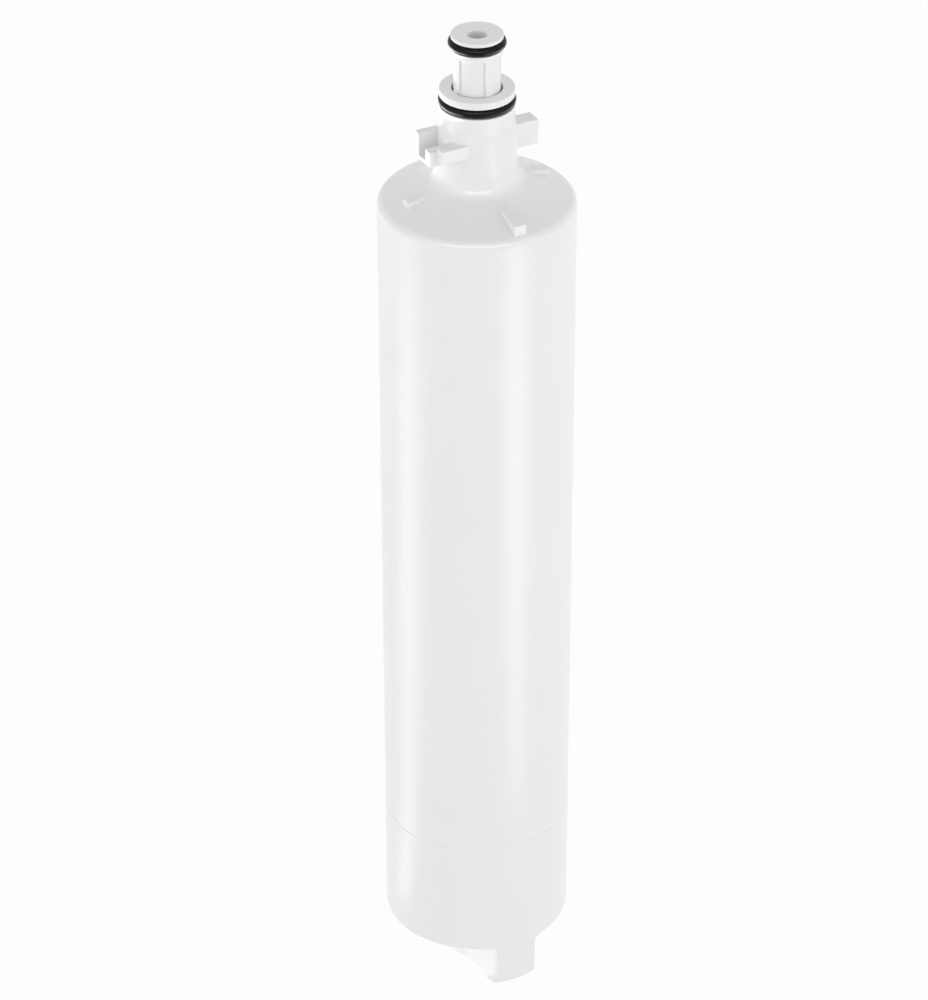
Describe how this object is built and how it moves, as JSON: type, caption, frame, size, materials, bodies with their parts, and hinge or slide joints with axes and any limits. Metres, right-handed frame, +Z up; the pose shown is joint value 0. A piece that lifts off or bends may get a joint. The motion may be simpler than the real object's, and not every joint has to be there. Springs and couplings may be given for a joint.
{
  "type": "fridge water filter cartridge",
  "caption": "Slim twist-in fridge water filter cartridge: plain white canister with a stepped neck, bayonet lugs, black seal rings, outlet spigot and a finger grip under its welded cap.",
  "frame": {"origin": "on the cartridge's axis, half way up the neck's land, the first round wall that enters the filter head", "axes": "+Z up along the axis towards the outlet spigot, +X towards the plain lug, -Y towards the front with the hooked lug's step"},
  "size_m": [0.055, 0.055, 0.3089],
  "materials": {
    "white_shell": "moulded white polypropylene, satin gloss",
    "white_stem": "moulded white polypropylene, satin gloss",
    "black_seal": "black sealing rubber with a thin film of grease",
    "carbon": "sintered activated carbon, dull black",
    "white_fleece": "bonded non-woven fleece",
    "net": "extruded polyethylene net",
    "bond": "set hot-melt adhesive"
  },
  "bodies": {
    "root": {"housing": "white_shell", "bottom_cap": "white_shell", "outlet_stem": "white_stem", "neck_o_ring": "black_seal", "spigot_o_ring": "black_seal", "carbon_block": "carbon", "core_fleece": "white_fleece", "prefilter_fleece": "white_fleece", "retaining_net": "net", "upper_bond_ring": "bond", "lower_bond_ring": "bond", "upper_end_cap": "white_stem", "lower_end_cap": "white_stem"}
  },
  "joints": []
}
